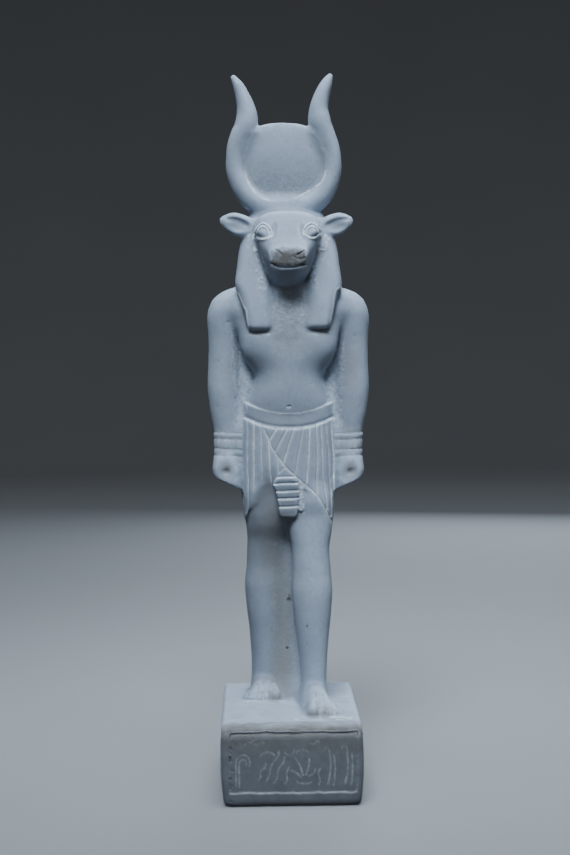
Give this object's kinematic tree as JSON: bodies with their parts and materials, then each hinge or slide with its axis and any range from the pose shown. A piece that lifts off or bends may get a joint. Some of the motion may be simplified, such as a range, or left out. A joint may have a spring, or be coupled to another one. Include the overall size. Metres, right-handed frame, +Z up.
{
  "type": "statue of a standing cow-headed goddess",
  "caption": "Carved white stone statue of a striding cow-headed goddess with a disc between her horns, on a block base, to stand on a shelf.",
  "frame": {"origin": "on the ground, under the middle of the statue's bounding box", "axes": "+Z up, the statue looks towards -Y, +X towards its left hand, which is the viewer's right"},
  "size_m": [0.082, 0.092, 0.3501],
  "materials": {
    "white_stone": "matte, hand polished, with rough tool marks in the recesses"
  },
  "bodies": {
    "root": {"statue": "white_stone"}
  },
  "joints": []
}
